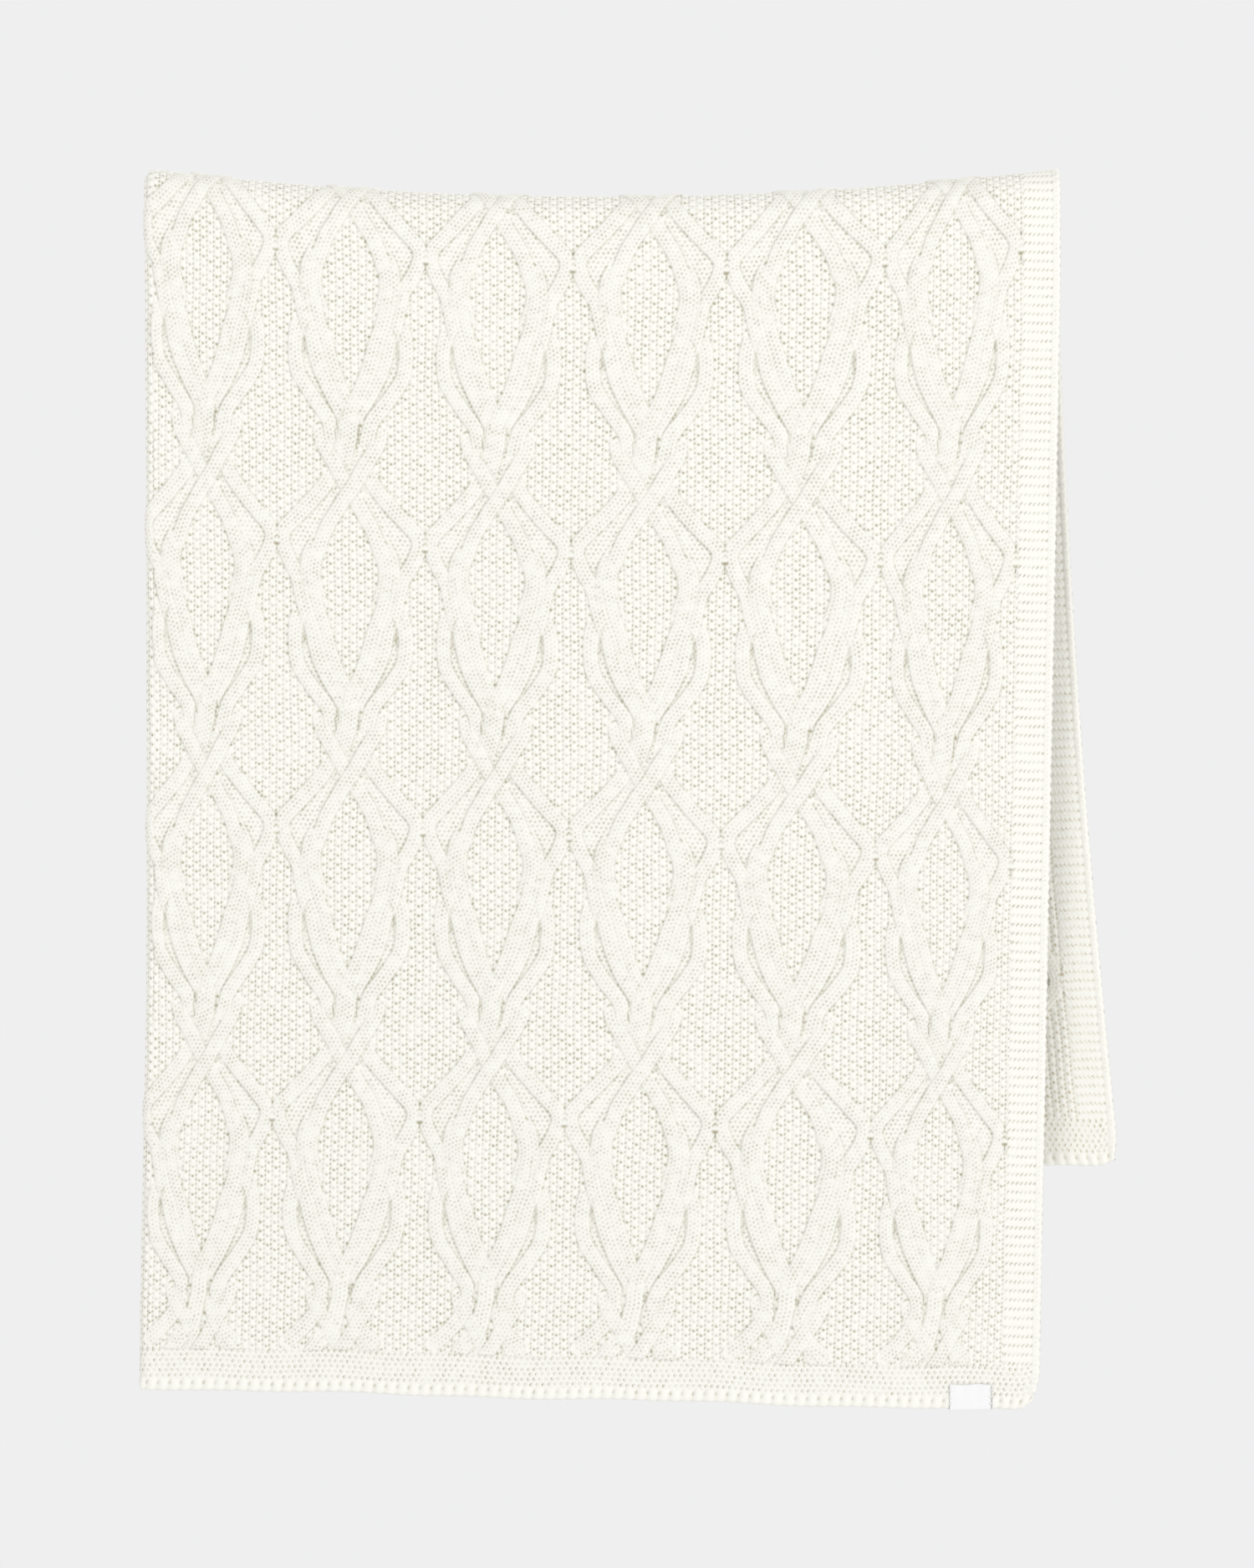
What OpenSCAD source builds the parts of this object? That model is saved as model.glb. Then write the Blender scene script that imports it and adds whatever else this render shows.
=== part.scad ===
// A cream cable-knit throw, folded once lengthwise into two leaves and hung over a slim rail.
// X runs across the fold, the lengthwise fold at -X and the selvedges at +X. The long flap
// hangs at -Y and is the front, the short flap hangs at +Y. The origin is on the rail's axis.

/* [Throw] */
// Width of the folded throw at the rail
folded_w = 404; // [300:1:600]
// From the rail's axis down to the front hem, half-way along it
front_drop = 514; // [350:1:800]
// From the rail's axis down to the back hem
back_drop = 411; // [250:1:700]
// How much lower the front hem hangs at its right end than at its left
hem_slope = 10; // [0:1:20]
// How far the front flap's right edge draws in towards its foot
front_taper = 9.5; // [0:0.5:20]
// How far the back flap leans to the right at its foot
back_lean = 26; // [0:1:40]

/* [Knit] */
// Thickness of one leaf of cable knit
leaf_t = 4.4; // [3:0.1:7]
// Room between the outer and the inner leaf
leaf_gap = 0.6; // [0.3:0.1:2]
// Width of the garter band along each side
band_w = 14; // [8:0.5:25]
// Thickness of the garter bands and hems
garter_t = 3.8; // [2:0.1:5]
// Width of the chain selvedge
selvedge_w = 4.5; // [3:0.5:8]
// Thickness of the chain selvedge
selvedge_t = 3.2; // [2:0.1:4.5]
// Height of the garter hem above its edge
hem_h = 18; // [10:1:30]
// Height of the cast-on and cast-off edges
edge_h = 5; // [3:0.5:8]
// Thickness of the cast-on and cast-off edges
edge_t = 3.4; // [2:0.1:4.5]

/* [Rail] */
// Radius of the rail that the throw hangs over
rail_r = 6; // [4:0.5:12]
// How far the outer leaf's crest dips in the middle, below its two ends
crest_sag = 12; // [0.5:0.5:20]
// Length of the straight skirt below the rail's axis, above where a flap starts to swing
skirt = 20; // [15:1:60]
// Room between a skirt and the flap below it
swing_gap = 0.4; // [0.3:0.1:1]

/* [Label] */
// Width of the woven label
label_w = 18; // [10:1:30]
// Height of the label's front leg
label_h = 12; // [8:1:18]
// Thickness of the label's tape
label_t = 0.35; // [0.2:0.05:0.6]
// From the label's right end to the front flap's right edge
label_inset = 21; // [10:1:60]
// Stitches at each end of the label
stitch_n = 3; // [2:1:5]
// Length of one stitch
stitch_l = 2.4; // [1.5:0.1:4]
// Radius of the sewing thread
thread_r = 0.3; // [0.15:0.05:0.5]

/* [Hidden] */

// The two flaps, and the two leaves
FRONT = 0;
BACK = 1;
INNER = 0;
OUTER = 1;

// Colours of the cotton and the label
cotton = "#f6f1e2";
cotton_band = "#efe9d8";
cotton_edge = "#e8e1ce";
tape = "#fbfaf6";

// Distance of each leaf's middle surface from the rail's axis
leaf_r = [rail_r + leaf_t / 2, rail_r + 1.5 * leaf_t + leaf_gap];
// Both leaves together
bundle_t = 2 * leaf_t + leaf_gap;
crest_r = rail_r + bundle_t;
// The lengthwise fold is a half-round bend as thick as the bundle
fold_r = bundle_t / 2;

// The column lines: fold line, panel to band, band to selvedge, outer edge
col_x = [
    -folded_w / 2 + fold_r,
    folded_w / 2 - selvedge_w - band_w,
    folded_w / 2 - selvedge_w,
    folded_w / 2
];

// Where each flap starts, and each flap's length, side sign and foot shifts
flap_top = -skirt - swing_gap;
drop = [front_drop, back_drop];
side = [-1, 1];
fold_shift = [0, back_lean];
edge_shift = [-front_taper, back_lean];
slope = [hem_slope / folded_w, 0];

// The crest's arc: its radius, and the height of its centre above the rail's axis
arc_r = (pow(folded_w / 2, 2) + pow(crest_sag, 2)) / (2 * crest_sag);
arc_z = arc_r + crest_r;
arc_angle = 2 * asin(folded_w / 2 / arc_r) + 2;
arc_fn = 1440;
round_fn = 64;
thread_fn = 24;
// Cutters reach past what they cut by this much
past = 5;

// Row lines of a flap, counted down from its top: 0 top, 1 hem top, 2 edge top, 3 foot
row_up = [0, edge_h + hem_h, edge_h, 0];

// Share of a flap's length at height z, 0 at its top and 1 at its foot
function share(flap, z) = (flap_top - z) / (flap_top + drop[flap]);
function foot_z(flap, x) = -drop[flap] - slope[flap] * x;
function shift(flap, col) = col == 0 ? fold_shift[flap] : edge_shift[flap];
function row_z(flap, col, row) =
    row == 0 ? flap_top : foot_z(flap, col_x[col] + shift(flap, col)) + row_up[row];

// The crossing of a column line and a row line, as a point in XZ
function crossing(flap, col, row) =
    let (z = row_z(flap, col, row))
    [col_x[col] + shift(flap, col) * share(flap, z), z];

// A flat sheet in XZ, t thick, with its middle surface at y
module sheet(outline, y, t) {
    translate([0, y + t / 2, 0])
        rotate([90, 0, 0])
            linear_extrude(t)
                polygon(outline);
}

// One zone of a flap's leaf, between two column lines and two row lines
module zone(flap, leaf, cols, rows, t) {
    sheet(
        [
            crossing(flap, cols[0], rows[0]),
            crossing(flap, cols[1], rows[0]),
            crossing(flap, cols[1], rows[1]),
            crossing(flap, cols[0], rows[1])
        ],
        side[flap] * leaf_r[leaf],
        t
    );
}

// The lengthwise fold beside a flap: a half-round bar that follows the flap's fold line
module fold_bar(flap) {
    top = crossing(flap, 0, 0);
    foot = crossing(flap, 0, 3);
    run = foot - top;
    tilt = atan2(run[0], -run[1]);
    y = side[flap] * (rail_r + fold_r);
    intersection() {
        translate([top[0], y, top[1]])
            rotate([0, -tilt, 0])
                translate([0, 0, -norm(run) - past])
                    difference() {
                        cylinder(h = norm(run) + 2 * past, r = fold_r, $fn = round_fn);
                        translate([0, -fold_r - past, -past])
                            cube([fold_r + past, 2 * (fold_r + past), norm(run) + 4 * past]);
                    }
        translate([-folded_w, y - bundle_t, foot[1]])
            cube([2 * folded_w, 2 * bundle_t, top[1] - foot[1]]);
    }
}

// Section of a leaf over the rail: a half ring with straight skirts below it
module arch_section(r, t, centre_up, skirt_down) {
    difference() {
        leg_section(r + t / 2, centre_up, skirt_down);
        leg_section(r - t / 2, centre_up, skirt_down + past);
    }
}

// A round-topped strip: half width r, its round centred at centre_up
module leg_section(r, centre_up, skirt_down) {
    translate([0, centre_up])
        circle(r, $fn = round_fn);
    translate([-r, -skirt_down])
        square([2 * r, skirt_down + centre_up]);
}

// Between two column lines, the inner leaf runs straight over the rail and rests on it
module straight_crest(cols, t) {
    translate([col_x[cols[0]], 0, 0])
        rotate([90, 0, 90])
            linear_extrude(col_x[cols[1]] - col_x[cols[0]])
                arch_section(rail_r + t / 2, t, 0, skirt);
}

// The outer leaf dips in the middle: its arch is swept along the crest's long arc
module sagging_crest(cols, t) {
    intersection() {
        translate([0, 0, arc_z])
            rotate([90, 0, 0])
                rotate([0, 0, -90 - arc_angle / 2])
                    rotate_extrude(angle = arc_angle, $fn = arc_fn)
                        translate([arc_z, 0])
                            rotate([0, 0, 90])
                                arch_section(leaf_r[OUTER], t, 0, skirt + 3 * past);
        translate([col_x[cols[0]], -2 * crest_r, -skirt])
            cube([col_x[cols[1]] - col_x[cols[0]], 4 * crest_r, 4 * crest_r]);
    }
}

// ---- Over the rail ----

module outer_crest_panel() {
    color(cotton) sagging_crest([0, 1], leaf_t);
}

module outer_crest_band() {
    color(cotton_band) sagging_crest([1, 2], garter_t);
}

module outer_crest_selvedge() {
    color(cotton_edge) sagging_crest([2, 3], selvedge_t);
}

module inner_crest_panel() {
    color(cotton) straight_crest([0, 1], leaf_t);
}

module inner_crest_band() {
    color(cotton_band) straight_crest([1, 2], garter_t);
}

module inner_crest_selvedge() {
    color(cotton_edge) straight_crest([2, 3], selvedge_t);
}

// The lengthwise fold where it passes over the rail: a small ear that stands up off it
module crest_side_fold() {
    color(cotton)
        translate([-folded_w / 2, 0, 0])
            rotate([90, 0, 90])
                linear_extrude(fold_r)
                    difference() {
                        leg_section(crest_r, crest_sag, skirt);
                        leg_section(rail_r, 0, skirt + past);
                    }
}

// ---- Front flap ----

module outer_front_panel() {
    color(cotton) zone(FRONT, OUTER, [0, 1], [0, 1], leaf_t);
}

module outer_front_band() {
    color(cotton_band) zone(FRONT, OUTER, [1, 2], [0, 1], garter_t);
}

module outer_front_selvedge() {
    color(cotton_edge) zone(FRONT, OUTER, [2, 3], [0, 3], selvedge_t);
}

module outer_front_hem() {
    color(cotton_band) zone(FRONT, OUTER, [0, 2], [1, 2], garter_t);
}

module outer_cast_on_edge() {
    color(cotton_edge) zone(FRONT, OUTER, [0, 2], [2, 3], edge_t);
}

module inner_front_panel() {
    color(cotton) zone(FRONT, INNER, [0, 1], [0, 1], leaf_t);
}

module inner_front_band() {
    color(cotton_band) zone(FRONT, INNER, [1, 2], [0, 1], garter_t);
}

module inner_front_selvedge() {
    color(cotton_edge) zone(FRONT, INNER, [2, 3], [0, 3], selvedge_t);
}

module inner_front_hem() {
    color(cotton_band) zone(FRONT, INNER, [0, 2], [1, 2], garter_t);
}

module inner_cast_on_edge() {
    color(cotton_edge) zone(FRONT, INNER, [0, 2], [2, 3], edge_t);
}

module front_side_fold() {
    color(cotton) fold_bar(FRONT);
}

// Puts its children on the cast-on edge at the label's place: X along the edge from the
// label's middle, Y out of the leaf's middle surface, Z up from the leaf's foot
module at_label() {
    x = folded_w / 2 - front_taper - label_inset - label_w / 2;
    translate([x, -leaf_r[OUTER], foot_z(FRONT, x)])
        rotate([0, atan(slope[FRONT]), 0])
            children();
}

// The label's tape is folded round the edge, one leg in front of the hem and one behind it
label_gap = garter_t / 2 + 0.1;
label_below = 0.2;

module woven_label() {
    color(tape)
        at_label()
            rotate([90, 0, 90])
                translate([0, 0, -label_w / 2])
                    linear_extrude(label_w)
                        difference() {
                            translate([-label_gap - label_t, -label_below - label_t])
                                square([2 * (label_gap + label_t), label_h]);
                            translate([-label_gap, -label_below])
                                square([2 * label_gap, label_h + past]);
                        }
}

module label_stitches() {
    pitch = label_h / (stitch_n + 1);
    color(tape)
        at_label()
            for (end = [-1, 1], i = [1 : stitch_n])
                translate([
                    end * label_w / 2 - stitch_l / 2,
                    -label_gap - label_t - thread_r - 0.02,
                    i * pitch - label_below - label_t
                ])
                    rotate([0, 90, 0])
                        cylinder(h = stitch_l, r = thread_r, $fn = thread_fn);
}

// ---- Back flap ----

module outer_back_panel() {
    color(cotton) zone(BACK, OUTER, [0, 1], [0, 1], leaf_t);
}

module outer_back_band() {
    color(cotton_band) zone(BACK, OUTER, [1, 2], [0, 1], garter_t);
}

module outer_back_selvedge() {
    color(cotton_edge) zone(BACK, OUTER, [2, 3], [0, 3], selvedge_t);
}

module outer_back_hem() {
    color(cotton_band) zone(BACK, OUTER, [0, 2], [1, 2], garter_t);
}

module outer_cast_off_edge() {
    color(cotton_edge) zone(BACK, OUTER, [0, 2], [2, 3], edge_t);
}

module inner_back_panel() {
    color(cotton) zone(BACK, INNER, [0, 1], [0, 1], leaf_t);
}

module inner_back_band() {
    color(cotton_band) zone(BACK, INNER, [1, 2], [0, 1], garter_t);
}

module inner_back_selvedge() {
    color(cotton_edge) zone(BACK, INNER, [2, 3], [0, 3], selvedge_t);
}

module inner_back_hem() {
    color(cotton_band) zone(BACK, INNER, [0, 2], [1, 2], garter_t);
}

module inner_cast_off_edge() {
    color(cotton_edge) zone(BACK, INNER, [0, 2], [2, 3], edge_t);
}

module back_side_fold() {
    color(cotton) fold_bar(BACK);
}

outer_crest_panel();
outer_crest_band();
outer_crest_selvedge();
inner_crest_panel();
inner_crest_band();
inner_crest_selvedge();
crest_side_fold();
outer_front_panel();
outer_front_band();
outer_front_selvedge();
outer_front_hem();
outer_cast_on_edge();
inner_front_panel();
inner_front_band();
inner_front_selvedge();
inner_front_hem();
inner_cast_on_edge();
front_side_fold();
woven_label();
label_stitches();
outer_back_panel();
outer_back_band();
outer_back_selvedge();
outer_back_hem();
outer_cast_off_edge();
inner_back_panel();
inner_back_band();
inner_back_selvedge();
inner_back_hem();
inner_cast_off_edge();
back_side_fold();
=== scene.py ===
"""A cream cable-knit throw, folded once lengthwise and hung over a slim rail.

Lengths are in millimetres until a mesh is written. The knit is a field of heights over the
cloth, laid on two folded sheets that meet at the crest: the front flap and the back flap.
"""

import math

import bpy
import numpy as np
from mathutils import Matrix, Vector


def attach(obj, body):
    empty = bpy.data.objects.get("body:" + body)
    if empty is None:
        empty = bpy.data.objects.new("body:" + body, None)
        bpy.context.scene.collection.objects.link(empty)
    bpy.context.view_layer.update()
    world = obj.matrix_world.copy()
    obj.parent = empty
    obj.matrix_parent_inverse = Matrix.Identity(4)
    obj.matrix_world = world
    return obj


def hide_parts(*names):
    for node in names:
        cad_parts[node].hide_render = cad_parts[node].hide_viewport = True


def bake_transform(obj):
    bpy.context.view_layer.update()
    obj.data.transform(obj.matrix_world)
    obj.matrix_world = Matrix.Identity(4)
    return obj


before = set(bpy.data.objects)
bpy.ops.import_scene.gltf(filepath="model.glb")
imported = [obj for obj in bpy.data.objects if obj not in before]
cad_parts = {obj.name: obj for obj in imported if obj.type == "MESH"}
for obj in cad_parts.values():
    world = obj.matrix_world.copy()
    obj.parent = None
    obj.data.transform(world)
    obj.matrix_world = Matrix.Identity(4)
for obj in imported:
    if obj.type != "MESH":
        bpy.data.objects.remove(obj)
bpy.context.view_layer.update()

MM = 0.001
FRONT, BACK = 0, 1
SIDE = (-1.0, 1.0)

# ---- The throw's own sizes, as the CAD has them ----
EDGE_X = 202.0  # outer edge of the selvedges
FOLD_X = -197.3  # where the lengthwise fold starts to bend
BAND_X = 183.5  # where the garter band starts
OUTER_R = 13.2  # middle of the outer leaf, from the rail's axis
INNER_R = 8.2  # middle of the inner leaf
SAG = 12.4  # rise of the outer leaf's crest at its two ends
FOLLOW = 0.85  # share of that rise that the inner leaf follows
LOFT = 3.3  # how far the soft outer leaf stands up over the inner one at the crest
FLAP_TOP = -20.4  # height where the flaps hang free of the rail
DROP = (514.0, 412.5)  # how far each flap's edge hangs below the rail's axis
HEM_SLOPE = (10.0 / 404.0, 0.0)  # how steeply each flap's edge falls to the right
FRONT_TAPER = 9.5  # how far the front flap's right edge leans in at its foot
BACK_LEAN = 27.5  # how far the back flap's foot leans to the right
BACK_HOLLOW = 3.5  # how far the back flap's edge curves in half-way down
HEM_TOP = (18.6, 21.0)  # height of each flap's garter hem with its edge
CAST_EDGE = 5.5  # height of the whipped cast-on edge
WHIP = 5.1  # from one bar of the whipped edge to the next
SELVEDGE = 3.6  # width of the chain selvedge
TUCK = (3.8, 2.0)  # how far each flap's foot corners are rounded in
BAND = 16.4  # garter band with its selvedge
BAND_STITCH, BAND_RIDGE = 1.95, 3.95  # one stitch across the band, one ridge along it
HEM_STITCH, HEM_RIDGE = 2.7, 2.25
LABEL_X, LABEL_W, LABEL_H = 162.1, 18.2, 10.6  # the woven label on the hem

LEAF_W = EDGE_X - FOLD_X
BEND_W = 12.7  # cloth taken up by the lengthwise fold
FAR_A = 2 * LEAF_W + BEND_W  # the whole width of the cloth, from edge to edge
QUARTER = OUTER_R * math.pi / 2  # cloth over a quarter turn of the rail

# ---- The cable motif, one repeat: u across from its middle, v down from a crossing ----
PITCH = 69.3  # width of one repeat
REPEAT = 126.1  # and its height
WALE = PITCH / 20  # width of a stitch
COURSE = REPEAT / 62  # and its height
GRAIN = 0.2  # step of the motif's height map

# Strands of the left half as (u, v, lift). Lift is 1 on the cloth, less under another strand.
OUTER_STRAND = [
    (-8.1, -9.2, 0.2), (-11.1, -2.9, 0.75), (-15.9, 2.9, 1), (-21.4, 8.8, 1), (-26.9, 14.4, 1),
    (-31.0, 18.8, 1), (-32.0, 22.9, 1), (-31.0, 26.9, 1), (-28.4, 32.4, 1), (-25.4, 37.2, 1.05),
    (-23.6, 41.3, 1.1), (-22.5, 46.8, 1.15), (-20.6, 54.2, 1.15), (-17.7, 61.6, 1.05),
    (-15.9, 68.9, 1), (-13.6, 75.6, 1), (-9.6, 83.7, 0.95), (-5.9, 89.6, 0.85), (-2.9, 94.4, 0.6),
]
CROSSING_STRAND = [(14.4, -26.9, 0.3), (13.6, -21.8, 0.85), (10.0, -15.5, 1.1), (6.3, -10.0, 1.15)]
CROSSING_MIDDLE = [(2.2, -2.9), (-2.6, 3.7)]
PETAL_STRAND = [
    (-6.6, 10.0, 1.1), (-10.3, 15.9, 1.1), (-12.9, 22.1, 1.1), (-14.7, 26.9, 1.05),
    (-17.7, 31.7, 1), (-19.0, 36.1, 0.95), (-18.4, 41.3, 0.95), (-17.0, 46.8, 1), (-14.7, 54.2, 1),
    (-11.8, 61.6, 1), (-9.6, 68.9, 1), (-7.4, 75.6, 1),
]
PETAL_FOOT = [(-4.1, 83.7), (-1.1, 89.6), (0.0, 94.0)]
SIDE_STRAND = [
    (-23.2, 53.5, 0.3), (-25.1, 58.6, 0.85), (-25.8, 65.3, 1), (-25.4, 71.5, 1), (-24.0, 77.4, 1),
    (-19.9, 83.7, 1.05), (-15.1, 90.0, 1.1), (-10.7, 95.5, 1.1),
]
SIDE_FOOT = [(-8.8, 101.4, 0.85), (-7.4, 106.9, 0.3)]
# A plump bud lies on each petal, just inside the kissing points
BUD = [(-14.6, 24.5, 0.4), (-17.2, 29.5, 1.2), (-18.3, 35.5, 1.4), (-17.9, 41.0, 1.35),
       (-16.4, 46.0, 0.9), (-15.2, 50.0, 0.3)]
STEM = [(1.0, 88.0, 0.3), (0.2, 93.0, 0.9), (-0.7, 97.7, 1.15), (-1.1, 103.2, 1.1),
        (-2.9, 109.5, 0.85)]
STEM_FOOT = [(-4.4, 114.3, 0.3)]
# Above the hem the strands turn outwards into small feet
HEM_SIDE_LEFT = [(-9.3, 101.4, 1), (-10.6, 107.0, 1), (-15.5, 113.5, 1), (-21.5, 119.5, 0.9),
                 (-27.0, 123.6, 0.4)]
HEM_SIDE_RIGHT = [(8.0, 101.4, 1), (5.0, 108.5, 1.05), (7.5, 115.5, 1.05), (11.5, 120.0, 0.95),
                  (16.5, 123.6, 0.4)]
HEM_STEM = [(-3.6, 113.5, 1), (-6.4, 118.6, 0.95), (-12.5, 123.4, 0.4)]
STRAND_HALF = 3.45
STEM_HALF = 4.7
BUD_HALF = 5.0

# Columns of the motif across the outer leaf: crossings and kissing points in turn
HALF_COLUMNS = [-204.0, -173.7, -143.1, -110.6, -77.4, -45.7, -12.5, 21.4, 55.3, 89.2, 124.6,
                155.2, 184.5, 214.5]
HALF_FIRST = -1  # number of the first one
HALF_INNER = 32.35  # half a column on the inner leaf
# Rows of the motif: height of each crossing in the middle, then its tilt and arch by column
ROW_MIDDLE = [516.0, 390.0, 263.0, 136.0, 8.8, -118.1, -242.3, -368.0, -494.0, -620.0]
ROW_TILT = [-1.5, -1.5, -1.5, -1.6, -1.7, -2.3, -2.9, -1.85, -1.7, -1.7]
ROW_ARCH = [0.0, 0.0, 0.0, 0.8, 1.8, 0.75, -0.45, -0.25, 0.0, 0.0]
COLUMN_MIDDLE, COLUMN_W = -12.5, 65.0  # the middle column, and from one to the next
FEET_ROW = 7  # the repeat that ends in feet above the front hem


def smooth(t):
    t = np.clip(t, 0, 1)
    return t * t * (3 - 2 * t)


def cycle(t):
    """1 at whole numbers, 0 half-way between them."""
    return 0.5 + 0.5 * np.cos(2 * np.pi * t)


def rounded_path(points, steps=6):
    """A smooth curve through the points, as rows of u, v, lift."""
    p = np.array([points[0], *points, points[-1]], float)
    out = []
    for i in range(1, len(p) - 2):
        for t in np.arange(steps) / steps:
            out.append(0.5 * (2 * p[i] + (p[i + 1] - p[i - 1]) * t
                              + (2 * p[i - 1] - 5 * p[i] + 4 * p[i + 1] - p[i + 2]) * t * t
                              + (3 * p[i] - p[i - 1] - 3 * p[i + 1] + p[i + 2]) * t ** 3))
    out.append(p[-2])
    return np.array(out)


def mirrored(points):
    return [(-q[0], *q[1:]) for q in points]


def strands(feet):
    """Every strand of one repeat as (points, half width, wales)."""
    over = [(u, v, 1.35) for u, v in CROSSING_MIDDLE]
    under = [(u, v, 0.6) for u, v in CROSSING_MIDDLE]
    low = [(u, v, lift) for (u, v), lift in zip(PETAL_FOOT, (0.9, 0.8, 0.6))]
    high = [(u, v, lift) for (u, v), lift in zip(PETAL_FOOT, (1.1, 1.2, 1.2))]
    left = CROSSING_STRAND + over + PETAL_STRAND + low
    right = mirrored(CROSSING_STRAND + under + PETAL_STRAND + high)
    out = [(left, STRAND_HALF, 2), (right, STRAND_HALF, 2),
           (BUD, BUD_HALF, 3), (mirrored(BUD), BUD_HALF, 3),
           (OUTER_STRAND, STRAND_HALF, 2), (mirrored(OUTER_STRAND), STRAND_HALF, 2)]
    if feet:
        out += [(SIDE_STRAND + HEM_SIDE_LEFT, STRAND_HALF, 2),
                (mirrored(SIDE_STRAND) + HEM_SIDE_RIGHT, STRAND_HALF, 2),
                (STEM + HEM_STEM, STRAND_HALF + 0.5, 2)]
    else:
        out += [(SIDE_STRAND + SIDE_FOOT, STRAND_HALF, 2),
                (mirrored(SIDE_STRAND + SIDE_FOOT), STRAND_HALF, 2),
                (STEM + STEM_FOOT, STEM_HALF, 3)]
    return out


def dot(x, y, size):
    """A soft round spot of about that radius."""
    return np.exp(-(x * x + y * y) / (size * size))


def nearest(t):
    """Distance to the nearest whole number, signed."""
    return t - np.round(t)


def seed_stitch(u, v):
    """Seed stitch: purl bumps in every other course, staggered from wale to wale.

    Returns its height and how much of a hole each place is, which sets the painted shade there."""
    wale = np.floor(u / WALE)
    course = v / COURSE + 0.1 * np.sin(2 * np.pi * u / WALE)
    across = u / WALE - wale - 0.5
    shift = np.mod(wale, 2)
    up = cycle((course - shift) / 2)
    height = 0.62 * np.clip(np.cos(np.pi * across), 0, 1) ** 0.8 * (0.4 + 0.6 * up)
    middle = dot(across * WALE, nearest((course - shift) / 2 + 0.5) * 2 * COURSE, 0.62)
    side = dot((0.5 - np.abs(across)) * WALE, nearest(course + 0.25) * COURSE, 0.55)
    line = np.exp(-((0.5 - np.abs(across)) * WALE / 0.5) ** 2)
    pit = np.clip(0.94 * middle + 0.62 * side + 0.12 * line, 0, 1)
    return height - 0.25 * pit, pit


def low_knit(u, v):
    """The low ground between strands: close small stitches, and a hole beside each, darkened with
    painted shade.
    """
    arc = 0.12 * np.sin(2 * np.pi * u / (0.95 * WALE))
    row = v / COURSE + arc
    height = 0.3 * cycle(row) - 0.1
    column = u / (0.64 * WALE) + 0.5 * np.mod(np.round(row + 0.5), 2)
    hole = dot(nearest(column) * 0.64 * WALE, nearest(row + 0.5) * COURSE, 0.6)
    return height, np.clip(0.03 + 0.62 * hole, 0, 1)


def knit_legs(across, along, half, wales):
    """Stockinette on a strand: each wale is a column of V stitches, with a hole by each leg,
    darkened with painted shade.
    """
    wide = 2 * half / wales
    w = (across + half) / wide
    w = w - np.floor(w) - 0.5
    leg = np.abs(np.sin(2 * np.pi * w)) ** 0.6
    tick = cycle(along / COURSE + 1.0 * np.abs(w))
    height = 0.34 * leg * (0.5 + 0.5 * tick)
    step = along / COURSE
    middle = dot(w * wide, nearest(step) * COURSE, 0.58)
    side = dot((0.5 - np.abs(w)) * wide, nearest(step + 0.5) * COURSE, 0.58)
    between = leg * (1 - tick) ** 3
    return height, np.clip(0.6 * middle + 0.66 * side + 0.08 * between, 0, 1)


def centre_line(points, v):
    """How far from the motif's middle a strand of its left half runs, at v down."""
    p = np.array([q[:2] for q in points])
    return np.interp(v, p[:, 1], -p[:, 0])


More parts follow.
